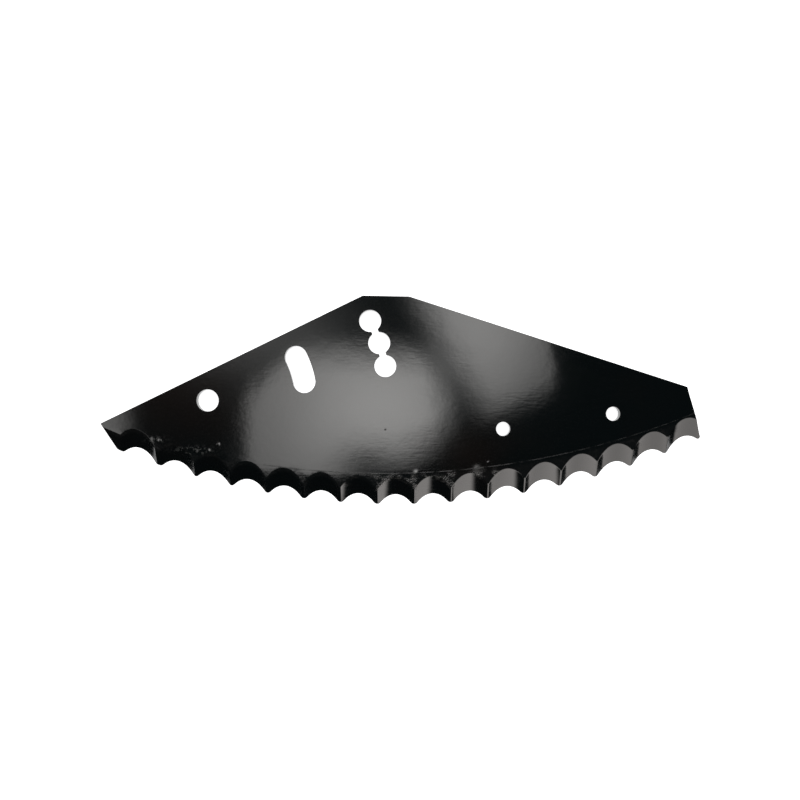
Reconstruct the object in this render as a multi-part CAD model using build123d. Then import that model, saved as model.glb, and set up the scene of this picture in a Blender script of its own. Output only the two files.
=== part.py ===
from build123d import *
from math import cos, degrees, radians, sin, tan
import os

# A bolt-on knife for the mixing auger of a feeder wagon, cut from one flat steel plate.
# It lies on its underside. The origin is on the axis of the pivot hole, in the underside.
# X runs along the blade, Y from the cutting edge to the crown, and Z up through the plate.
# Lengths are millimetres and angles are degrees.

# Plate
plate_thickness = 10.0
corner_radius = 0.8

# Nose, the end nearer the pivot hole
nose_reach = 107.4
nose_drop = 23.1
nose_cut_angle = 60.4
nose_foot_radius = 7.0

# Crown, the flat top of the blank between its two long slopes
crown_rise = 104.9
crown_width = 46.7
crown_tilt = 1.1
front_slope = 26.0

# Tail, the long thin end
tail_reach = 480.0
tail_slope = 18.0
tail_cut_angle = 73.5
tail_foot_radius = 2.5

# Bowed cutting side
edge_radius = 743.0
edge_low_x = 188.3
edge_low_drop = 104.5

# Plain bevel along the edge, down to a narrow upright land
bevel_angle = 28.4
edge_land = 1.5

# Very shallow relief above the bevel, ground from a flatter arc of its own
relief_angle = 1.2
relief_radius = 834.0
relief_low_x = 176.0
relief_low_drop = 73.0

# Gullets, ground side by side into the bevel by a tilted round wheel
gullet_count = 16
gullet_pitch = 37.8
nose_gullet_pitch = 41.2
gullet_radius = 31.3
gullet_depth = 9.5
gullet_row_radius = 757.6
gullet_row_low_x = 189.3
last_gullet_reach = 301.1

# Pivot hole, and the arc slot and three linked holes that turn about it
bolt_hole_diameter = 22.0
slot_width = 22.5
slot_circle_radius = 98.4
linked_circle_radius = 181.0
linked_hole_pitch = 23.9
swing_angle = 18.5
neck_width = 6.6
neck_corner_radius = 1.0

# Two smaller holes in the tail half
tail_hole_diameter = 14.0
inner_tail_hole = (295.6, -28.5)
outer_tail_hole = (405.6, -13.4)

# How far a cutting tool runs past the face that it cuts, and the length of the wheel's path
tool_overrun = 5.0
wheel_path = 190.0

swing_step = degrees(linked_hole_pitch / linked_circle_radius)
edge_axis = Vector(edge_low_x, edge_radius - edge_low_drop)
relief_axis = Vector(relief_low_x, relief_radius - relief_low_drop)
gullet_row_axis = Vector(gullet_row_low_x, gullet_row_radius + gullet_depth - edge_low_drop)


def along(start, angle, length):
    """The point at a length from the start, in the direction of an angle."""
    return (start[0] + length * cos(radians(angle)), start[1] + length * sin(radians(angle)))


def blank_face():
    """The plate's outline: five straight sides, closed by the arc of the cutting side."""
    nose = (-nose_reach, -nose_drop)
    front_length = (crown_rise + nose_drop) / sin(radians(front_slope))
    crown_front = along(nose, front_slope, front_length)
    crown_back = along(crown_front, -crown_tilt, crown_width)
    tail_length = (tail_reach - crown_back[0]) / cos(radians(tail_slope))
    tail = along(crown_back, -tail_slope, tail_length)
    below_edge = 2 * (edge_low_drop + crown_rise)
    tail_low = along(tail, -tail_cut_angle, below_edge)
    nose_low = along(nose, -nose_cut_angle, below_edge)
    sides = make_face(Polyline(nose, crown_front, crown_back, tail, tail_low, nose_low, close=True))
    outline = (sides & Pos(edge_axis) * Circle(edge_radius)).face()
    edge = outline.edges().filter_by(GeomType.CIRCLE)[0]
    feet = edge.vertices().sort_by(Axis.X)
    outline = outline.fillet_2d(nose_foot_radius, [feet[0]])
    foot = outline.vertices().sort_by_distance(feet[1].center())[0]
    outline = outline.fillet_2d(tail_foot_radius, [foot])
    sharp = [outline.vertices().sort_by_distance(Vector(*p))[0] for p in (nose, crown_front, crown_back, tail)]
    return outline.fillet_2d(corner_radius, sharp)


def slope_cutter(axis, radius, height, angle):
    """A ring round an upright axis, for all above a slope that falls outwards.

    The slope is at the height where it crosses the radius, and at the angle to the plate.
    """
    slope = tan(radians(angle))
    top = plate_thickness + tool_overrun
    outer = radius + edge_low_drop
    inner = radius - (top - height) / slope
    low = height - (outer - radius) * slope
    section = make_face(Polyline((inner, 0, top), (outer, 0, top), (outer, 0, low), close=True))
    return Pos(axis) * revolve(section, Axis.Z)


def gullet_cutter(angle):
    """The grinding wheel's round, tilted to the bevel, at an angle along the row of gullets.

    All wheels lean in the same direction, so the gullets are parallel and don't fan out.
    """
    bottom = gullet_row_axis + Vector(*along((0, 0), angle - 90, gullet_row_radius))
    rise = Vector(0, cos(radians(bevel_angle)), sin(radians(bevel_angle)))
    away = Vector(0, -sin(radians(bevel_angle)), cos(radians(bevel_angle)))
    wheel = Plane(origin=bottom + away * gullet_radius, x_dir=(1, 0, 0), z_dir=rise)
    return wheel * Cylinder(gullet_radius, wheel_path)


def gullet_cutters():
    """One wheel for each gullet, at an even pitch from the tail. The one at the nose stands off."""
    reaches = [last_gullet_reach - gullet_pitch * place for place in range(gullet_count - 1)]
    reaches.append(reaches[-1] - nose_gullet_pitch)
    return [gullet_cutter(degrees(reach / gullet_row_radius)) for reach in reaches]


def linked_holes_face():
    """Three bolt holes in a row about the pivot, joined by short narrow necks."""
    middle_line = CenterArc((0, 0), linked_circle_radius, swing_angle - swing_step, 2 * swing_step)
    holes = SlotArc(middle_line, neck_width)
    for step in (-1, 0, 1):
        centre = along((0, 0), swing_angle + step * swing_step, linked_circle_radius)
        holes += Pos(*centre) * Circle(bolt_hole_diameter / 2)
    outline = holes.face()
    return outline.fillet_2d(neck_corner_radius, outline.vertices())


def slot_face():
    """The arc slot, as long as the swing from the first linked hole to the last."""
    middle_line = CenterArc((0, 0), slot_circle_radius, swing_angle - swing_step, 2 * swing_step)
    return SlotArc(middle_line, slot_width)


def through_cut(face):
    """A face of the plan, made into a cutter that passes both faces of the plate."""
    depth = plate_thickness + 2 * tool_overrun
    return Pos(0, 0, -tool_overrun) * extrude(face, depth)


def knife_blade():
    """The blank, its bevel and relief, its gullets and its holes."""
    blade = extrude(blank_face(), plate_thickness)
    blade -= slope_cutter(relief_axis, relief_radius, plate_thickness, relief_angle)
    blade -= slope_cutter(edge_axis, edge_radius, edge_land, bevel_angle)
    blade -= gullet_cutters()
    blade -= through_cut(Circle(bolt_hole_diameter / 2))
    blade -= through_cut(slot_face())
    blade -= through_cut(linked_holes_face())
    for centre in (inner_tail_hole, outer_tail_hole):
        blade -= through_cut(Pos(*centre) * Circle(tail_hole_diameter / 2))
    return blade


os.makedirs("parts", exist_ok=True)
export_step(knife_blade().solid(), "parts/knife_blade.step")
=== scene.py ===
# %% [markdown]
# # A feeder wagon knife, made ready for its picture
# The knife is one flat steel plate with a scalloped cutting edge, painted gloss black. The imported CAD model
# is loaded first, because the dressed plate has to agree with its size and place.

# %% Load the imported knife
from math import atan, atan2, cos, degrees, pi, radians, sin, sqrt, tan

import bpy
import numpy as np
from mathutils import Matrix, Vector
from mathutils.geometry import delaunay_2d_cdt
from mathutils.kdtree import KDTree


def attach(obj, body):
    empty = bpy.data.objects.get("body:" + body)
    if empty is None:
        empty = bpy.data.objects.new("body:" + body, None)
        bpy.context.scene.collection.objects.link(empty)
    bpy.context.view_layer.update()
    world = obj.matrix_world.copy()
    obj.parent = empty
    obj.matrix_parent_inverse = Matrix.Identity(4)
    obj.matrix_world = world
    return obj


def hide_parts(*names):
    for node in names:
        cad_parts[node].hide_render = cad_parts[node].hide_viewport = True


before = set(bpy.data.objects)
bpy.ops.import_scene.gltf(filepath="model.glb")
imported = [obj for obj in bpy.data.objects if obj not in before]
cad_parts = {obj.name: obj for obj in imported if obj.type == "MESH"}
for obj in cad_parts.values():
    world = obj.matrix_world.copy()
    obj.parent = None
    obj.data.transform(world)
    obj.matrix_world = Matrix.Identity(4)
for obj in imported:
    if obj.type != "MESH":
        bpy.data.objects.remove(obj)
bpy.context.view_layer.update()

# %% [markdown]
# ## Sizes
# The sizes are the ones that the CAD source uses, in millimetres and degrees, so that the dressed plate lies
# exactly where the CAD plate lies. Only the small roundings are new: paint never sits on a razor-sharp
# corner, and the radius that it pulls back into is what catches the light.

# %% Sizes of the plate
MM = 0.001
thickness = 10.0
nose_reach, nose_drop, nose_cut = 107.4, 23.1, 60.4
crown_rise, crown_width, crown_tilt = 104.9, 46.7, 1.1
front_slope, tail_slope = 26.0, 18.0
tail_reach, tail_cut = 480.0, 73.5
corner_radius, nose_foot_radius, tail_foot_radius = 0.8, 7.0, 2.5
edge_low_drop, edge_land, bevel_angle = 104.5, 1.5, 28.4
edge_radius, relief_radius, row_radius = 743.0, 834.0, 757.6
relief_angle, relief_low_drop = 1.2, 73.0
gullet_depth = 9.5
edge_axis = Vector((188.3, edge_radius - edge_low_drop))
relief_axis = Vector((176.0, relief_radius - relief_low_drop))
row_axis = Vector((189.3, row_radius + gullet_depth - edge_low_drop))

# %% Sizes of the gullets, the holes and the roundings
gullet_count, gullet_pitch, nose_gullet_pitch = 16, 37.8, 41.2
gullet_radius, last_gullet_reach = 31.3, 301.1
bolt_radius, slot_half_width, tail_hole_radius = 11.0, 11.25, 7.0
slot_circle, linked_circle, linked_pitch = 98.4, 181.0, 23.9
swing, swing_step = 18.5, degrees(linked_pitch / linked_circle)
neck_half_width, neck_corner = 3.3, 1.0
tail_holes = [Vector((295.6, -28.5)), Vector((405.6, -13.4))]
arris, ridge_rounding, relief_rounding = 0.35, 0.55, 0.02
edge_height, tip_rounding = 0.15, 2.0

# %% [markdown]
# ## Drawing the outline
# A cut plate is drawn as a workshop drawing is: straight sides, arcs, and a small radius at each corner. Two
# helpers are enough. One steps in a direction, and one walks along an arc between two points.

# %% Two drawing helpers


def heading(angle, length=1.0):
    """A step in the direction of an angle, in degrees from +X."""
    return Vector((cos(radians(angle)), sin(radians(angle)))) * length


def arc(centre, start, end, turn, step=0.6):
    """Points from start to end about a centre, anticlockwise for a turn of 1 and clockwise for -1."""
    first, last = start - centre, end - centre
    begin, finish = atan2(first.y, first.x), atan2(last.y, last.x)
    sweep = (turn * (finish - begin)) % (2 * pi)
    count = max(3, round(sweep * first.length / step))
    return [centre + heading(degrees(begin + turn * sweep * i / count), first.length) for i in range(count + 1)]


print("quarter arc:", len(arc(Vector((0, 0)), heading(0, 50), heading(90, 50), 1)), "points")

# %% Corners of the blank, and a radius on each
nose = Vector((-nose_reach, -nose_drop))
crown_front = nose + heading(front_slope, (crown_rise + nose_drop) / sin(radians(front_slope)))
crown_back = crown_front + heading(-crown_tilt, crown_width)
tail = crown_back + heading(-tail_slope, (tail_reach - crown_back.x) / cos(radians(tail_slope)))


def rounded(before, corner, after, radius):
    """The arc that rounds a corner between two straight sides, walked clockwise round the plate."""
    to_before, to_after = (before - corner).normalized(), (after - corner).normalized()
    half = to_before.angle(to_after) / 2
    centre = corner + (to_before + to_after).normalized() * (radius / sin(half))
    reach = radius / tan(half)
    return arc(centre, corner + to_before * reach, corner + to_after * reach, -1, 0.2)


def foot(start, angle, inward, radius):
    """The arc where a straight end meets the bowed side: its ends on the end and on the bow, and its centre."""
    along, inwards = heading(angle), heading(inward)
    base = start + inwards * radius - edge_axis
    room = (edge_radius - radius) ** 2 - base.length_squared + base.dot(along) ** 2
    centre = edge_axis + base + along * (sqrt(room) - base.dot(along))
    return centre - inwards * radius, edge_axis + (centre - edge_axis).normalized() * edge_radius, centre


nose_foot = foot(nose, -nose_cut, 90 - nose_cut, nose_foot_radius)
tail_foot = foot(tail, -tail_cut, -90 - tail_cut, tail_foot_radius)
print("nose, crown and tail:", [tuple(round(v, 1) for v in p) for p in (nose, crown_front, crown_back, tail)])
print("feet:", [tuple(round(v, 1) for v in p) for p in (nose_foot[1], tail_foot[1])])

# %% [markdown]
# ## The rule of the grinder
# Everything above the cutting edge is made by grinding, and each ground face has a simple height over the
# plan: the flat top, a very shallow cone for the relief, a steeper cone for the bevel, and one tilted round
# for each gullet. The plate's surface is whichever of them is lowest. The rule is needed twice. Here it is
# in plain numbers, to find out where the edge runs and where faces meet. Further on it is a node tree.

# %% The ground faces in numbers
slope = tan(radians(bevel_angle))
reaches = last_gullet_reach - gullet_pitch * np.arange(gullet_count)
reaches[-1] += gullet_pitch - nose_gullet_pitch
gullets = np.array([row_axis + heading(degrees(r / row_radius) - 90, row_radius) for r in reaches])


def round_of(x):
    """How far each gullet's round rises beside its own middle line, for places along the blade."""
    beside = np.asarray(x)[None, :] - gullets[:, :1]
    inside = np.clip(gullet_radius ** 2 - beside ** 2, 0, None)
    return np.where(inside > 0, (gullet_radius - np.sqrt(inside)) / cos(radians(bevel_angle)), 1000.0)


def ground_faces(x, y):
    """Heights over points of the plan: the shallow faces' lowest, then the lowest two of bevel and gullets."""
    relief = thickness - (np.hypot(x - relief_axis.x, y - relief_axis.y) - relief_radius) * tan(radians(relief_angle))
    bevel = edge_land - (np.hypot(x - edge_axis.x, y - edge_axis.y) - edge_radius) * slope
    rounds = (np.asarray(y)[None, :] - gullets[:, 1:]) * slope + round_of(x)
    steep = np.sort(np.vstack([bevel, rounds]), axis=0)[:2]
    return np.vstack([np.minimum(thickness, relief), steep])


def edge_line(x):
    """How low the scalloped edge runs at places along the blade."""
    return (gullets[:, 1:] + (edge_height - round_of(x)) / slope).max(axis=0)


print("gullets along the blade:", gullets[:, 0].round(1))

# %% [markdown]
# The lower side is the blank's long arc, with a bite taken out wherever a gullet reaches the underside. A
# smooth maximum of the two lines blunts the corners of each tip, as the grinder and the paint leave them.

# %% The whole outline, clockwise from the nose
lower = arc(tail_foot[2], tail_foot[0], tail_foot[1], -1, 0.3)
lower += arc(edge_axis, tail_foot[1], nose_foot[1], -1, 0.4)[1:-1]
lower += arc(nose_foot[2], nose_foot[1], nose_foot[0], -1, 0.4)
lower = np.array(lower)
bite = edge_line(lower[:, 0])
blend = np.clip(tip_rounding - np.abs(lower[:, 1] - bite), 0, None) ** 2 / (4 * tip_rounding)
lower[:, 1] = np.maximum(lower[:, 1], bite) + blend

corners = rounded(Vector(lower[-1]), nose, crown_front, corner_radius)
corners += rounded(nose, crown_front, crown_back, corner_radius)
corners += rounded(crown_front, crown_back, tail, corner_radius)
corners += rounded(crown_back, tail, Vector(lower[0]), corner_radius)
outline = np.vstack([np.array(corners), lower])
print("outline points:", len(outline))

# %% [markdown]
# ## The holes
# The slot and the three linked holes turn about the pivot hole, so their outlines are drawn from circles about
# it. Where a narrow neck meets a hole the cutter leaves a tiny radius. Its centre lies where two circles
# cross: one round the hole and one beside the neck, each a radius further out.

# %% Outlines of the slot and the linked holes
pivot = Vector((0, 0))
low_end, high_end = heading(swing - swing_step, slot_circle), heading(swing + swing_step, slot_circle)
far, near = 1 + slot_half_width / slot_circle, 1 - slot_half_width / slot_circle
slot = arc(low_end, low_end * near, low_end * far, 1) + arc(pivot, low_end * far, high_end * far, 1)[1:-1]
slot += arc(high_end, high_end * far, high_end * near, 1) + arc(pivot, high_end * near, low_end * near, -1)[1:-1]


def crossing(hole, about_hole, about_pivot, side):
    """Where a circle about a hole crosses one about the pivot, towards a higher (1) or lower (-1) angle."""
    away = (hole.length_squared + about_pivot ** 2 - about_hole ** 2) / (2 * hole.length)
    across = sqrt(about_pivot ** 2 - away ** 2)
    base = hole.normalized()
    return base * away + Vector((-base.y, base.x)) * across * side


def neck_arc(hole, side, outer):
    """The little arc between a hole and the outer (1) or inner (-1) wall of a neck, walked clockwise."""
    wall = linked_circle + outer * neck_half_width
    centre = crossing(hole, bolt_radius + neck_corner, wall + outer * neck_corner, side)
    on_hole = hole + (centre - hole).normalized() * bolt_radius
    on_neck = centre.normalized() * wall
    leaving = side * outer > 0
    return arc(centre, on_hole, on_neck, -1, 0.2) if leaving else arc(centre, on_neck, on_hole, -1, 0.2)


bottom, middle, top = [heading(swing + k * swing_step, linked_circle) for k in (-1, 0, 1)]
walk = [(bottom, neck_arc(bottom, 1, -1), neck_arc(bottom, 1, 1)), (middle, neck_arc(middle, -1, 1), neck_arc(middle, 1, 1)),
        (top, neck_arc(top, -1, 1), neck_arc(top, -1, -1)), (middle, neck_arc(middle, 1, -1), neck_arc(middle, -1, -1))]
linked = []
for hole, into, out in walk:
    linked += into + arc(hole, into[-1], out[0], 1)[1:-1] + out
print("slot points:", len(slot), "linked hole points:", len(linked))


def round_hole(centre, radius):
    """A circle, anticlockwise."""
    half = Vector((radius, 0))
    return arc(centre, centre + half, centre - half, 1)[:-1] + arc(centre, centre - half, centre + half, 1)[:-1]


holes = [round_hole(pivot, bolt_radius), slot, linked] + [round_hole(c, tail_hole_radius) for c in tail_holes]
holes = [np.array(points) for points in holes]

# %% [markdown]
# ## Rims
# Every rim of the upper side is rounded with a few rings of points: the first lies on the wall, the last on
# the face, and those between follow a quarter circle. Outline and holes are both walked with the steel on the
# right, so the same left-hand normal points out of the steel everywhere. On a thin wall the radius is smaller.

# %% Rings of points round each rim
turns = np.radians([0, 30, 60, 90])


def outwards(points):
    """Unit steps out of the steel, one for each point of a closed line."""
    along = np.roll(points, -1, axis=0) - np.roll(points, 1, axis=0)
    return np.column_stack([-along[:, 1], along[:, 0]]) / np.linalg.norm(along, axis=1)[:, None]


rims = []
for points in [outline, *holes]:
    out = outwards(points)
    radius = np.minimum(arris, 0.45 * ground_faces(*points.T).min(axis=0))[:, None]
    rims.append({"line": points, "out": out, "radius": radius, "seat": points - out * radius})
print("points on the rims:", sum(len(r["line"]) for r in rims))

# %% [markdown]
# ## Points inside
# A flat face needs few points, a round gullet needs many, and where two ground faces meet the points have to
# be closest, because that is where the little roundings lie. So three grids are laid over the plan, and each
# keeps only the points that it is needed for.

# %% Three grids of points
spread = KDTree(sum(len(r["seat"]) for r in rims))
for number, (x, y) in enumerate(np.vstack([r["seat"] for r in rims])):
    spread.insert((x, y, 0), number)
spread.balance()


def in_steel(x, y):
    """Whether points of the plan lie on the steel, by counting the rim lines to their right."""
    inside = np.zeros(len(x), bool)
    for rim in rims:
        a, b = rim["seat"], np.roll(rim["seat"], -1, axis=0)
        for (ax, ay), (bx, by) in zip(a, b):
            if ay != by:
                crosses = (ay > y) != (by > y)
                inside ^= crosses & (x < ax + (y - ay) * (bx - ax) / (by - ay))
    return inside


def grid(step, wanted):
    """The points of a grid that are wanted and stand clear of the rims."""
    x, y = [v.ravel() for v in np.meshgrid(np.arange(-107, 496, step), np.arange(-105, 105, step))]
    faces = ground_faces(x, y)
    keep = wanted(faces) & (faces.min(axis=0) > edge_height)
    x, y = x[keep], y[keep]
    keep = in_steel(x, y)
    x, y = x[keep], y[keep]
    clear = [spread.find((px, py, 0))[2] > 0.55 * step for px, py in zip(x, y)]
    return np.column_stack([x, y])[clear]


def meets(faces, within):
    """Where two ground faces are nearly level and one is steep, as at a ridge or an upper rim."""
    flat_top, steep, next_steep = faces
    rim = np.abs(flat_top - steep) < within
    ridge = (next_steep - steep < within) & (steep < flat_top)
    return rim | ridge


fine = grid(0.36, lambda faces: meets(faces, 0.6))
medium = grid(1.3, lambda faces: ~meets(faces, 0.7) & (faces[1] < faces[0]))
coarse = grid(6.0, lambda faces: ~meets(faces, 1.0) & (faces[1] > faces[0]))
print("fine, medium and coarse points:", len(fine), len(medium), len(coarse))

# %% [markdown]
# ## One flat drawing, ready to be lifted
# All points are laid out flat first, each with three notes for the node tree: the place where the ground
# surface is read (its seat), how far below that surface the point belongs (its drop), and whether it lies in
# the underside. A Delaunay triangulation joins them without ever crossing a rim.

# %% Join the points


def in_loops(points, centres):
    """Whether places lie inside an odd number of closed lines."""
    inside = np.zeros(len(centres), bool)
    for line in points:
        for (ax, ay), (bx, by) in zip(line, np.roll(line, -1, axis=0)):
            if ay != by:
                crosses = (ay > centres[:, 1]) != (by > centres[:, 1])
                inside ^= crosses & (centres[:, 0] < ax + (centres[:, 1] - ay) * (bx - ax) / (by - ay))
    return inside


def joined(loops, loose):
    """Triangles, anticlockwise, over closed lines and loose points, numbered in that order."""
    points, sides = np.vstack([*loops, loose]), []
    start = 0
    for line in loops:
        sides += [(start + i, start + (i + 1) % len(line)) for i in range(len(line))]
        start += len(line)
    found = delaunay_2d_cdt([Vector(p) for p in points], sides, [], 1, 1e-5)
    number = [sources[0] for sources in found[3]]
    triangles = np.array([[number[v] for v in face] for face in found[2]])
    a, b, c = [points[triangles[:, k]] for k in range(3)]
    turned = (b[:, 0] - a[:, 0]) * (c[:, 1] - a[:, 1]) < (b[:, 1] - a[:, 1]) * (c[:, 0] - a[:, 0])
    triangles[turned] = triangles[turned][:, ::-1]
    on_rims = (triangles < start).all(axis=1)
    kept = ~on_rims
    kept[on_rims] = in_loops(loops, (a + b + c)[on_rims] / 3)
    return triangles[kept]


loose = np.vstack([fine, medium, coarse])
rim_count = sum(len(r["line"]) for r in rims)
layers = [np.vstack([r["line"] for r in rims])]
for turn in turns:
    layers.append(np.vstack([r["line"] - r["out"] * r["radius"] * (1 - cos(turn)) for r in rims]))
places = np.vstack([*layers, loose])
seats = np.vstack([np.vstack([r["seat"] for r in rims])] * 5 + [loose])
radii = np.vstack([r["radius"] for r in rims])[:, 0]
drops = np.concatenate([np.zeros(rim_count)] + [radii * (1 - sin(turn)) for turn in turns] + [np.zeros(len(loose))])
soles = np.concatenate([np.ones(rim_count), np.zeros(len(places) - rim_count)])

upper = joined([r["seat"] for r in rims], loose) + 4 * rim_count
under = joined([r["line"] for r in rims], np.empty((0, 2)))[:, ::-1]
nexts = np.concatenate([np.roll(np.arange(len(r["line"])), -1) + s for r, s in
                        zip(rims, np.cumsum([0] + [len(r["line"]) for r in rims]))])
walls = [np.column_stack([np.arange(rim_count) + k * rim_count, np.arange(rim_count) + (k + 1) * rim_count,
                          nexts + (k + 1) * rim_count, nexts + k * rim_count]) for k in range(4)]
faces = [tuple(f) for f in under.tolist() + np.vstack(walls).tolist() + upper.tolist()]

flat = bpy.data.meshes.new("flat_drawing")
flat.from_pydata([(x * MM, y * MM, 0) for x, y in places], [], faces)
seat_note = flat.attributes.new("seat", "FLOAT_VECTOR", "POINT")
seat_note.data.foreach_set("vector", (np.column_stack([seats, np.zeros(len(seats))]) * MM).astype(np.float32).ravel())
for name, notes in (("drop", drops * MM), ("sole", soles)):
    flat.attributes.new(name, "FLOAT", "POINT").data.foreach_set("value", notes.astype(np.float32))
drawing = bpy.data.objects.new("flat_drawing", flat)
bpy.context.scene.collection.objects.link(drawing)
print("points:", len(places), "faces:", len(faces), "underside:", len(under))

# %% [markdown]
# ## Maths as plain expressions
# Node trees for sums get long, so one small class wraps a socket. An expression on it, such as 1 - mask,
# adds the Math nodes by itself. Every other node comes from one method, which takes the node's type, its
# settings and the values or links of its sockets.

# %% The class that writes node trees


class Value:
    """A socket in a node tree. Arithmetic on it adds Math nodes."""

    def __init__(self, tree, socket):
        self.tree, self.socket = tree, socket

    def node(self, kind, settings=None, inputs=None, output=0):
        """Adds any node, sets its settings first, and fills or links its sockets."""
        made = self.tree.nodes.new(kind)
        for name, value in (settings or {}).items():
            setattr(made, name, value)
        for name, value in (inputs or {}).items():
            if isinstance(value, Value):
                self.tree.links.new(value.socket, made.inputs[name])
            else:
                made.inputs[name].default_value = value
        return Value(self.tree, made.outputs[output])

    def maths(self, operation, *others):
        return self.node("ShaderNodeMath", {"operation": operation}, dict(enumerate((self, *others))))

    def __add__(self, other):
        return self.maths("ADD", other)

    def __sub__(self, other):
        return self.maths("SUBTRACT", other)

    def __rsub__(self, other):
        return self.maths("MULTIPLY_ADD", -1.0, other)

    def __mul__(self, other):
        return self.maths("MULTIPLY", other)

    def __truediv__(self, other):
        return self.maths("DIVIDE", other)

    __radd__, __rmul__ = __add__, __mul__


# %% [markdown]
# ## The node tree of the grinder
# Sixteen round gullets are ground side by side into the bevel by a tilted wheel. They repeat along the edge by
# a rule, so a node group works out the height at any place: it counts which gullets lie on either side, finds
# their middle lines from the pitch, and takes the lowest of all ground faces. A smooth minimum instead of a
# plain one lays a small radius along every ridge and rim, as the paint does.

# %% A group for the height at a place
sizes = {
    "Thickness": thickness * MM, "Relief radius": relief_radius * MM, "Relief slope": tan(radians(relief_angle)),
    "Edge radius": edge_radius * MM, "Edge land": edge_land * MM, "Bevel slope": slope,
    "Row radius": row_radius * MM, "Last reach": last_gullet_reach * MM, "Pitch": gullet_pitch * MM,
    "Nose pitch": nose_gullet_pitch * MM, "Last gullet": float(gullet_count - 1), "Wheel radius": gullet_radius * MM,
    "Wheel lean": 1 / cos(radians(bevel_angle)), "Rounding": ridge_rounding * MM,
    "Relief rounding": relief_rounding * MM,
}
axes = {"Relief axis": relief_axis, "Edge axis": edge_axis, "Row axis": row_axis}


def size_sockets(group):
    """Named inputs for all sizes, each with its real value."""
    for name, value in sizes.items():
        group.interface.new_socket(name, in_out="INPUT", socket_type="NodeSocketFloat").default_value = value
    for name, value in axes.items():
        made = group.interface.new_socket(name, in_out="INPUT", socket_type="NodeSocketVector")
        made.default_value = (value.x * MM, value.y * MM, 0)


height_group = bpy.data.node_groups.new("ground_height", "GeometryNodeTree")
height_group.interface.new_socket("Place", in_out="INPUT", socket_type="NodeSocketVector")
size_sockets(height_group)
height_group.interface.new_socket("Height", in_out="OUTPUT", socket_type="NodeSocketFloat")
entry = height_group.nodes.new("NodeGroupInput")
given = {s.name: Value(height_group, s) for s in entry.outputs if s.name}
place = given["Place"]
x = place.node("ShaderNodeSeparateXYZ", inputs={0: place}, output=0)
y = place.node("ShaderNodeSeparateXYZ", inputs={0: place}, output=1)


def cone(axis, radius, fall):
    """How far a cone round an upright axis has fallen at the place, from its height at a radius."""
    away = place.node("ShaderNodeVectorMath", {"operation": "DISTANCE"}, {0: place, 1: given[axis]}, "Value")
    return (away - given[radius]) * given[fall]


relief = given["Thickness"] - cone("Relief axis", "Relief radius", "Relief slope")
face_top = relief.maths("SMOOTH_MIN", given["Thickness"], given["Relief rounding"])
bevel = given["Edge land"] - cone("Edge axis", "Edge radius", "Bevel slope")

row_x = place.node("ShaderNodeSeparateXYZ", inputs={0: given["Row axis"]}, output=0)
row_y = place.node("ShaderNodeSeparateXYZ", inputs={0: given["Row axis"]}, output=1)
reach = ((x - row_x) / given["Row radius"]).maths("ARCSINE") * given["Row radius"]
counted = ((given["Last reach"] - reach) / given["Pitch"]).maths("FLOOR")


def gullet(which):
    """The height of one gullet's ground face at the place."""
    which = which.maths("MAXIMUM", 0.0).maths("MINIMUM", given["Last gullet"])
    is_nose = which.maths("GREATER_THAN", given["Last gullet"] - 0.5)
    along = given["Last reach"] - which * given["Pitch"] - is_nose * (given["Nose pitch"] - given["Pitch"])
    angle = along / given["Row radius"]
    beside = x - row_x - angle.maths("SINE") * given["Row radius"]
    above = y - row_y + angle.maths("COSINE") * given["Row radius"]
    inside = (given["Wheel radius"] * given["Wheel radius"] - beside * beside).maths("MAXIMUM", 0.0)
    return above * given["Bevel slope"] + (given["Wheel radius"] - inside.maths("SQRT")) * given["Wheel lean"]


rounds = gullet(counted).maths("SMOOTH_MIN", gullet(counted + 1.0), given["Rounding"])
plain = face_top.maths("SMOOTH_MIN", bevel, given["Rounding"])
leaving = height_group.nodes.new("NodeGroupOutput")
height_group.links.new(plain.maths("SMOOTH_MIN", rounds, given["Rounding"]).socket, leaving.inputs[0])
print("nodes in the height group:", len(height_group.nodes))

# %% [markdown]
# The main tree reads that height three times, at the point's seat and a hair beside it in X and in Y. The
# first lifts the point, and the two small differences give the slope, so that every point gets the exact
# direction of the surface and the gloss runs over it without a ripple.

# %% The tree that lifts the drawing
lift = bpy.data.node_groups.new("lift_the_drawing", "GeometryNodeTree")
lift.interface.new_socket("Drawing", in_out="INPUT", socket_type="NodeSocketGeometry")
lift.interface.new_socket("Paint", in_out="INPUT", socket_type="NodeSocketMaterial")
size_sockets(lift)
lift.interface.new_socket("Knife", in_out="OUTPUT", socket_type="NodeSocketGeometry")
start = lift.nodes.new("NodeGroupInput")
given_lift = {s.name: Value(lift, s) for s in start.outputs if s.name}
shape = given_lift["Drawing"]


def note(name, kind="FLOAT"):
    """A note that was written on the drawing's points."""
    return shape.node("GeometryNodeInputNamedAttribute", {"data_type": kind}, {"Name": name})


def height_at(where):
    """The ground height at a place of the plan."""
    inputs = {"Place": where} | {name: given_lift[name] for name in [*sizes, *axes]}
    return shape.node("GeometryNodeGroup", {"node_tree": height_group}, inputs)


def moved(where, step):
    return shape.node("ShaderNodeVectorMath", {"operation": "ADD"}, {0: where, 1: step})


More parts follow.
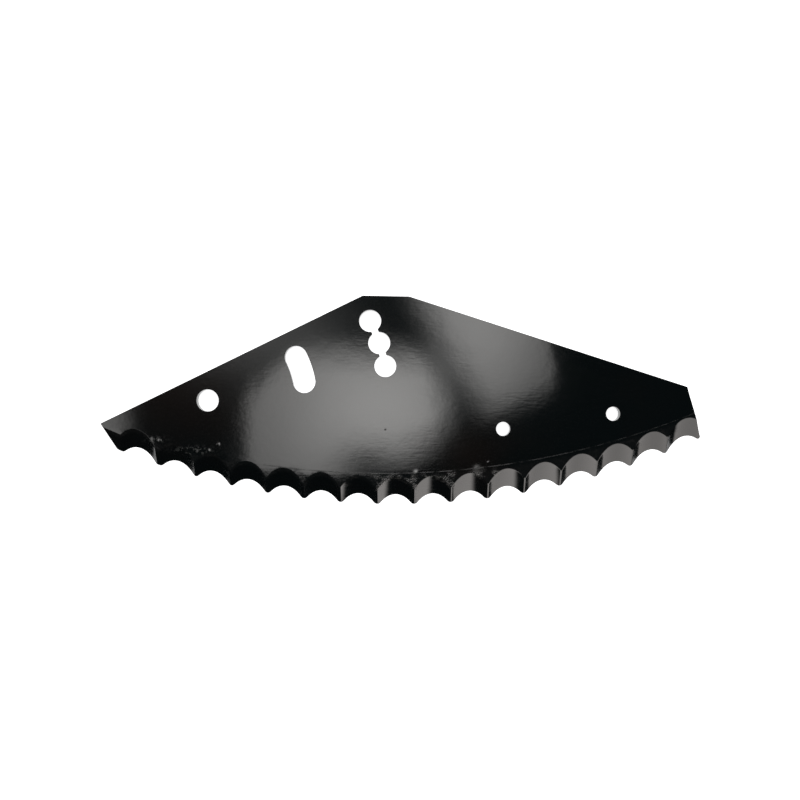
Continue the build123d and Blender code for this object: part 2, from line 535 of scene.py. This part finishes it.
seat = note("seat", "FLOAT_VECTOR")
hair = 0.15 * MM
height = height_at(seat)
fall_x = (height_at(moved(seat, (-hair, 0, 0))) - height_at(moved(seat, (hair, 0, 0)))) / (2 * hair)
fall_y = (height_at(moved(seat, (0, -hair, 0))) - height_at(moved(seat, (0, hair, 0)))) / (2 * hair)
facing = shape.node("ShaderNodeCombineXYZ", inputs={"X": fall_x, "Y": fall_y, "Z": 1.0})
facing = shape.node("ShaderNodeVectorMath", {"operation": "NORMALIZE"}, {0: facing})
rise = (height - note("drop")) * (1 - note("sole"))
lifting = shape.node("ShaderNodeCombineXYZ", inputs={"Z": rise})
lifted = shape.node("GeometryNodeSetPosition", inputs={"Geometry": shape, "Offset": lifting})
lifted = shape.node("GeometryNodeStoreNamedAttribute", {"data_type": "FLOAT_VECTOR", "domain": "POINT"},
                    {"Geometry": lifted, "Name": "facing", "Value": facing})
lifted = shape.node("GeometryNodeStoreNamedAttribute", {"data_type": "FLOAT", "domain": "POINT"},
                    {"Geometry": lifted, "Name": "ground_away", "Value": (given_lift["Thickness"] - height) / MM})
lifted = shape.node("GeometryNodeRealizeInstances", inputs={"Geometry": lifted})
lifted = shape.node("GeometryNodeSetMaterial", inputs={"Geometry": lifted, "Material": given_lift["Paint"]})
ending = lift.nodes.new("NodeGroupOutput")
lift.links.new(lifted.socket, ending.inputs[0])
print("nodes in the lifting tree:", len(lift.nodes))

# %% Lift the drawing and keep a plain mesh
paint = bpy.data.materials.new("black_gloss_paint")
paint.use_nodes = True
grinder = drawing.modifiers.new("lift_the_drawing", "NODES")
grinder.node_group = lift
for item in lift.interface.items_tree:
    if item.in_out == "INPUT" and item.name in sizes:
        grinder[item.identifier] = sizes[item.name]
    elif item.in_out == "INPUT" and item.name in axes:
        grinder[item.identifier] = (axes[item.name].x * MM, axes[item.name].y * MM, 0.0)
    elif item.name == "Paint":
        grinder[item.identifier] = paint
depsgraph = bpy.context.evaluated_depsgraph_get()
mesh = bpy.data.meshes.new_from_object(drawing.evaluated_get(depsgraph), depsgraph=depsgraph)
mesh.name = "knife_plate"
drawing.modifiers.clear()
bpy.data.objects.remove(drawing)
knife = bpy.data.objects.new("knife_plate", mesh)
bpy.context.scene.collection.objects.link(knife)
heights = np.array([v.co.z for v in mesh.vertices])
print("lifted from", heights.min(), "to", heights.max(), "m")

# %% [markdown]
# The rims need directions too: on the wall a point looks outwards, on the face it looks as the face does, and
# on the quarter circle between them it looks part of the way. The underside looks straight down.

# %% Directions for a clean gloss
facings = np.zeros(len(mesh.vertices) * 3, np.float32)
mesh.attributes["facing"].data.foreach_get("vector", facings)
facings = facings.reshape(-1, 3)
outs = np.column_stack([np.vstack([r["out"] for r in rims]), np.zeros(rim_count)])
facings[:rim_count] = outs
for k, turn in enumerate(turns):
    ring = slice((k + 1) * rim_count, (k + 2) * rim_count)
    facings[ring] = facings[ring] * sin(turn) + outs * cos(turn)
facings /= np.linalg.norm(facings, axis=1)[:, None]
corner_points = np.zeros(len(mesh.loops), np.int32)
mesh.loops.foreach_get("vertex_index", corner_points)
directions = facings[corner_points]
directions[:len(under) * 3] = (0, 0, -1)
for edge in mesh.edges:
    if max(edge.vertices) < rim_count:
        edge.use_edge_sharp = True
mesh.shade_smooth()
mesh.normals_split_custom_set(directions.tolist())
for name in ("seat", "drop", "sole", "facing"):
    mesh.attributes.remove(mesh.attributes[name])
mesh.calc_loop_triangles()
print("knife:", len(mesh.vertices), "points,", len(mesh.loop_triangles), "triangles")
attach(knife, "root")
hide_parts("knife_blade")

# %% [markdown]
# ## Gloss black paint
# Black paint has almost no colour of its own. What makes it look real is how it mirrors the studio: nearly
# sharp on the flat, a little softer in the ground gullets, and broken up where the paint crazed or caught grit.
# The tree works in millimetres, and reads the depth of the grinding that was stored on the points.

# %% Helpers for the paint and the lights


def blank(tree):
    """A start for expressions in a tree."""
    return Value(tree, None)


def fade(value, low, high):
    """A smooth step from 0 at one value to 1 at another."""
    return value.node("ShaderNodeMapRange", {"interpolation_type": "SMOOTHSTEP"},
                      {"Value": value, "From Min": low, "From Max": high})


def split(vector):
    """The three parts of a vector."""
    return [vector.node("ShaderNodeSeparateXYZ", inputs={0: vector}, output=k) for k in range(3)]


def noise(vector, scale, detail=2.0, stretch=(1, 1, 1)):
    """Even noise round 0, from about -0.5 to 0.5. The scale counts waves per millimetre."""
    wide = vector.node("ShaderNodeVectorMath", {"operation": "MULTIPLY"}, {0: vector, 1: stretch})
    return wide.node("ShaderNodeTexNoise", {}, {"Vector": wide, "Scale": scale, "Detail": detail}) - 0.5


def hill(x, y, middle, width, height=None):
    """A smooth hill, 1 at its middle, that falls away over a width, or a width and a height."""
    across, up = (x - middle[0]) / width, (y - middle[1]) / (height or width)
    return (-1.0 * (across * across + up * up)).maths("EXPONENT")


def blended(first, second, share):
    """A colour between two."""
    return share.node("ShaderNodeMix", {"data_type": "RGBA"}, {0: share, 6: first, 7: second}, 2)


# %% Places and masks
start = blank(paint.node_tree)
here = start.node("ShaderNodeTexCoord", output="Object")
here = here.node("ShaderNodeVectorMath", {"operation": "SCALE"}, {0: here, "Scale": 1 / MM})
px, py, pz = split(here)
ground_away = start.node("ShaderNodeAttribute", {"attribute_name": "ground_away"}, output="Fac")
on_gullets = fade(ground_away, 1.0, 2.2)
on_relief = fade(ground_away, 0.01, 0.12) * (1 - on_gullets)
mid_blade = fade(px, 135.0, 165.0) * fade(px, 320.0, 285.0)
patchy = fade(noise(here, 0.09, 3.0), -0.08, 0.12)
crazed = on_relief * patchy * (mid_blade * 0.9 + 0.1)
print("nodes for places and masks:", len(paint.node_tree.nodes))

# %% [markdown]
# The relief along the gullets is where the paint is at its worst: it was laid over a freshly ground strip, so it
# is finely cracked between the fourth and the eleventh gullet, and grit sticks in it elsewhere. A net of cells
# makes the cracks, and a few single hills make the lumps that stand out.

# %% Bumps of the paint, in millimetres
cells = here.node("ShaderNodeTexVoronoi", {"feature": "DISTANCE_TO_EDGE"}, {"Vector": here, "Scale": 0.45}, "Distance")
crackle = fade(cells, 0.0, 0.2) * 0.05 + noise(here, 0.55, 3.0) * 0.06
grit_cells = start.node("ShaderNodeTexVoronoi", {"feature": "F1"}, {"Vector": here, "Scale": 0.085, "Randomness": 1.0},
                        "Distance")
grit = fade(grit_cells, 0.11, 0.03)
lumps = [((-61.5, -37.6), 1.1, 0.12), ((-47.5, -39.6), 1.3, 0.14), ((-54.0, -38.6), 2.2, 0.08),
         ((10.5, -43.6), 1.3, 0.14), ((-24.5, -56.5), 1.5, 0.12), ((-11.0, -47.0), 2.4, 0.10),
         ((0.5, -49.5), 1.8, 0.12), ((186.5, -85.6), 1.2, 0.12), ((178.0, -29.6), 0.8, -0.07),
         ((209.0, -73.2), 2.6, 0.16), ((270.0, -68.5), 3.0, 0.2), ((281.0, -62.0), 1.4, 0.10)]
single = lumps[0][2] * hill(px, py, *lumps[0][:2])
for middle_of, width, rise_of in lumps[1:]:
    single = single + hill(px, py, middle_of, width) * rise_of
along_gullet = py * cos(radians(bevel_angle)) + pz * sin(radians(bevel_angle))
gullet_place = start.node("ShaderNodeCombineXYZ", inputs={"X": px * 0.03, "Y": along_gullet, "Z": 0.0})
marks = noise(gullet_place, 1.1, 3.0)
wheel_marks = marks * 0.006 + noise(here, 0.13, 1.0) * 0.03
rolling = noise(here, 1.0, 2.0, (0.09, 0.42, 0.0)) * (fade(noise(here, 0.04, 1.0), -0.2, 0.25) * 0.012 + 0.004)
peel = noise(here, 0.2, 1.0) * 0.011
sag = noise(here, 0.03, 1.5) * 0.08
bumps = peel + sag + rolling * (1 - on_gullets) + wheel_marks * on_gullets
bumps = bumps + crackle * crazed + grit * (on_relief * 0.03) + single
beyond_x, beyond_y = px - relief_axis.x, py - relief_axis.y
beyond = (beyond_x * beyond_x + beyond_y * beyond_y).maths("SQRT") - relief_radius
crease = (-1.0 * (beyond * beyond) / 0.3).maths("EXPONENT") * fade(px, 40.0, 75.0) * (1 - on_gullets)
crease = crease * fade(noise(here, 0.12, 3.0), -0.22, 0.12)
print("nodes in the paint so far:", len(paint.node_tree.nodes))

# %% [markdown]
# The paint's own colour wanders between a cold black towards the tail and a warm one in the middle, where it lies
# thinner. The crazed strip is rougher. It is paler partly from dust and partly from painted sheen, which stands in for
# the glints of its cracks. The relief crease gets a faint painted highlight.

# %% Colour, roughness and normal of the paint
warm = hill(px, py, (-30, 10), 75, 50) * 0.8 + hill(px, py, (262, -50), 42, 34) * 0.6 + noise(here, 0.02, 2.0) * 0.5
colour = blended((0.0021, 0.0032, 0.0035, 1), (0.0056, 0.0039, 0.0033, 1), warm)
# Paler speckles in the crazed strip: partly dust, partly painted sheen for glints. The crease's paler line is a painted
# highlight.
dust_and_sheen_speckle = fade(noise(here, 0.45, 3.0, (0.55, 1.3, 1.0)), -0.06, 0.14)
colour = blended(colour, (0.048, 0.045, 0.043, 1), crazed * dust_and_sheen_speckle * 0.8 + on_relief * 0.04 + crease * 0.04)
# Paler patches over the grit lumps: partly dust, partly painted glints.
lump_dust_and_glint = hill(px, py, (-52, -39), 9, 2.5) + hill(px, py, (10.5, -43.6), 1.6) + hill(px, py, (-14, -50), 16, 3.5)
colour = blended(colour, (0.075, 0.075, 0.073, 1), lump_dust_and_glint * fade(noise(here, 0.33, 2.0), 0.0, 0.16) * 0.8)
smear = hill(px, py, (270.0, -68.5), 5.0, 4.0)
dust = fade(noise(here, 0.35, 4.0), 0.02, 0.3)
roughness = dust * 0.02 + on_gullets * (fade(marks, -0.05, 0.3) * 0.14 + 0.05) + crazed * 0.10 + smear * 0.25 + crease * 0.25 + 0.065

shader = paint.node_tree.nodes["Principled BSDF"]
shader.inputs["IOR"].default_value = 1.5
for value, socket in ((colour, "Base Color"), (roughness, "Roughness")):
    paint.node_tree.links.new(value.socket, shader.inputs[socket])
bump = start.node("ShaderNodeBump", inputs={"Strength": 1.0, "Distance": MM, "Height": bumps})
paint.node_tree.links.new(bump.socket, shader.inputs["Normal"])
print("nodes in the paint:", len(paint.node_tree.nodes))

# %% [markdown]
# ## The studio
# A glossy plate seen from straight above shows what hangs over the camera, and its gullets show what stands
# in front of it. So the studio is laid out the way a photographer would lay it out for gloss black: a dark
# screen overhead with two soft windows in it, a bright card low at the right, and black flags for the rest.
# None of these cards lights the floor; a pale surround and two lamps behind do that, at a plain level.

# %% A helper for the cards


def card(name, corners, glow=None, tint=(1, 0.985, 0.965, 1)):
    """A flat card seen only in reflections. It is black, or glows as the given tree part says."""
    made = bpy.data.meshes.new(name)
    made.from_pydata(corners, [], [range(len(corners))])
    shown = bpy.data.objects.new(name, made)
    bpy.context.scene.collection.objects.link(shown)
    look = bpy.data.materials.new(name)
    look.use_nodes = True
    look.node_tree.nodes.clear()
    first = blank(look.node_tree)
    end = look.node_tree.nodes.new("ShaderNodeOutputMaterial")
    strength = glow(first) if glow else 0.0
    light = first.node("ShaderNodeEmission", inputs={"Color": tint, "Strength": strength})
    look.node_tree.links.new(light.socket, end.inputs["Surface"])
    made.materials.append(look)
    for ray in ("camera", "diffuse", "shadow", "volume_scatter"):
        setattr(shown, "visible_" + ray, False)
    return shown


# %% [markdown]
# ### The overhead screen
# The screen hangs 1.5 m over the plate, above the camera. A point of the plate mirrors the point of the screen
# that lies 2.47 times as far from the camera's foot, so the windows are drawn in the plate's own millimetres
# about that foot. Each window is the product of a few soft straight edges, with a hill for its bright middle.

# %% Two soft windows
eye = (0.19245, 0.0004, 1.030)
screen_height = 1.51
mirror_scale = (2 * 1.02 + (screen_height - 1.03)) / 1.02


def inside_edge(x, y, angle, start_at, width):
    """1 on the inner side of a soft straight edge. The angle is that of the way in."""
    way = heading(angle)
    across = x * way.x + y * way.y
    return fade(across, start_at - width / 2, start_at + width / 2)


def windows(first):
    """The glow of the screen."""
    spot = first.node("ShaderNodeTexCoord", output="Object")
    x, y, _ = split(spot)
    x = (x - eye[0]) / (mirror_scale * MM)
    y = (y - eye[1]) / (mirror_scale * MM)
    wide = 1.93 + hill(x, y, (-16, -6), 104, 90) * 4.6
    for edge in ((1, -154.7, 18), (-49, -105.3, 24), (-92, -45, 48), (194, -43, 48), (128, -48, 50)):
        wide = wide * inside_edge(x, y, *edge)
    wide = wide * (1 - hill(x, y, (-32, -72), 34, 26) * 0.88)
    tall = hill(x, y, (75, 76), 86, 108) * 5.3
    for edge in ((187, -155, 6), (31, 66, 46), (116, -54, 32)):
        tall = tall * inside_edge(x, y, *edge)
    wall_glow = hill(x, y, (-143, 72), 80, 45) * 1.3 + inside_edge(x, y, 180, 277, 36) * 2.6
    return wide + tall + wall_glow


card("overhead_screen", [(-1.4, -1.2, screen_height), (-1.4, 1.2, screen_height), (1.8, 1.2, screen_height),
                         (1.8, -1.2, screen_height)], windows)

# %% [markdown]
# ### The bright card and the flags
# The card stands 13 cm in front of the gullets. Its left edge is what draws the soft dark border in each gullet
# of the middle, further right in each one towards the tail, because every gullet is a small round mirror.

# %% Card and flags in front
card_left, card_right, card_front = 0.235, 0.790, -0.227


def card_glow(first):
    """The card is brightest low at its left, and soft at both ends and along its top."""
    spot = first.node("ShaderNodeTexCoord", output="Object")
    x, _, z = split(spot)
    ends = fade(x, card_left, card_left + 0.046) * fade(x, card_right, card_right - 0.08)
    return ends * (4.3 - fade(x, card_left + 0.02, card_left + 0.25) * 1.3)


card("bright_card", [(card_left, card_front, 0), (card_left, card_front, 0.40), (card_right, card_front, 0.40),
                     (card_right, card_front, 0)], card_glow, (1, 0.955, 0.925, 1))
card("left_flag", [(-0.8, card_front, 0), (-0.8, card_front, 1.4), (card_left, card_front, 1.4),
                   (card_left, card_front, 0)])
card("nose_flag", [(-0.8, card_front, 0), (-0.8, card_front, 0.9), (-0.8, 0.5, 0.9), (-0.8, 0.5, 0)])
felt = [edge_axis + heading(angle, edge_radius + 2) for angle in np.linspace(-114, -64, 40)]
card("felt_in_front", [(p.x * MM, p.y * MM, -0.0001) for p in felt] + [(1.2, card_front, -0.0001), (-0.9, card_front, -0.0001)])
card("right_flag", [(card_right, card_front, 0), (card_right, card_front, 1.4), (1.8, 0.1, 1.4), (1.8, 0.1, 0)])

# %% [markdown]
# ### Floor, lamps and surround
# The floor is white. It glows a little for the eye and for reflections only, so that it stays white up to the
# plate while the plate's soft shadow can still be seen. The surround is white wherever it is looked at or
# mirrored, and a plain grey light for everything else.

# %% Floor
bpy.ops.mesh.primitive_plane_add(size=14, location=(0.19, 0, -0.0003))
floor = bpy.context.object
floor.name = "floor"
white = bpy.data.materials.new("white_floor")
white.use_nodes = True
first = blank(white.node_tree)
looked_at = first.node("ShaderNodeLightPath", output="Is Camera Ray")
for ray in ("Is Glossy Ray", "Is Transmission Ray"):
    looked_at = looked_at.maths("MAXIMUM", looked_at.node("ShaderNodeLightPath", output=ray))
plain = white.node_tree.nodes["Principled BSDF"]
plain.inputs["Base Color"].default_value = (0.88, 0.88, 0.88, 1)
plain.inputs["Roughness"].default_value = 1.0
plain.inputs["Specular IOR Level"].default_value = 0.0
glow = first.node("ShaderNodeEmission", inputs={"Color": (1, 1, 1, 1), "Strength": looked_at * 0.85})
both = first.node("ShaderNodeAddShader", inputs={0: Value(white.node_tree, plain.outputs[0]), 1: glow})
white.node_tree.links.new(both.socket, white.node_tree.nodes["Material Output"].inputs["Surface"])
floor.data.materials.append(white)

# %% Surround
world = bpy.data.worlds.new("studio")
bpy.context.scene.world = world
world.use_nodes = True
first = blank(world.node_tree)
looked_at = first.node("ShaderNodeLightPath", output="Is Camera Ray")
for ray in ("Is Glossy Ray", "Is Transmission Ray"):
    looked_at = looked_at.maths("MAXIMUM", looked_at.node("ShaderNodeLightPath", output=ray))
world.node_tree.nodes["Background"].inputs["Color"].default_value = (1, 1, 1, 1)
strength = looked_at * 0.4 + 0.6
world.node_tree.links.new(strength.socket, world.node_tree.nodes["Background"].inputs["Strength"])

# %% Lamps behind the plate


def softbox(name, place, target, width, height, power):
    """A large soft lamp that looks at a point."""
    data = bpy.data.lights.new(name, "AREA")
    data.shape, data.size, data.size_y, data.energy = "RECTANGLE", width, height, power
    lamp = bpy.data.objects.new(name, data)
    lamp.location = place
    lamp.rotation_euler = (Vector(target) - Vector(place)).to_track_quat("-Z", "Y").to_euler()
    bpy.context.scene.collection.objects.link(lamp)
    return lamp


softbox("box_behind_left", (-0.9, 1.5, 1.5), (0.2, 0, 0), 1.6, 1.2, 22)
softbox("box_behind_right", (1.3, 1.5, 1.5), (0.2, 0, 0), 1.6, 1.2, 22)

# %% [markdown]
# ## Camera
# The camera looks straight down from a little over a metre, as the offset between the upper and the lower rims
# of the holes in the photograph tells.

# %% Camera, straight above the plate
camera_data = bpy.data.cameras.new("camera")
camera_data.angle = 2 * atan(400 / 1020)
camera = bpy.data.objects.new("camera", camera_data)
camera.location = eye
bpy.context.scene.collection.objects.link(camera)
bpy.context.scene.camera = camera
bpy.context.scene.view_settings.view_transform = "Standard"
print("camera angle:", round(degrees(camera_data.angle), 2))
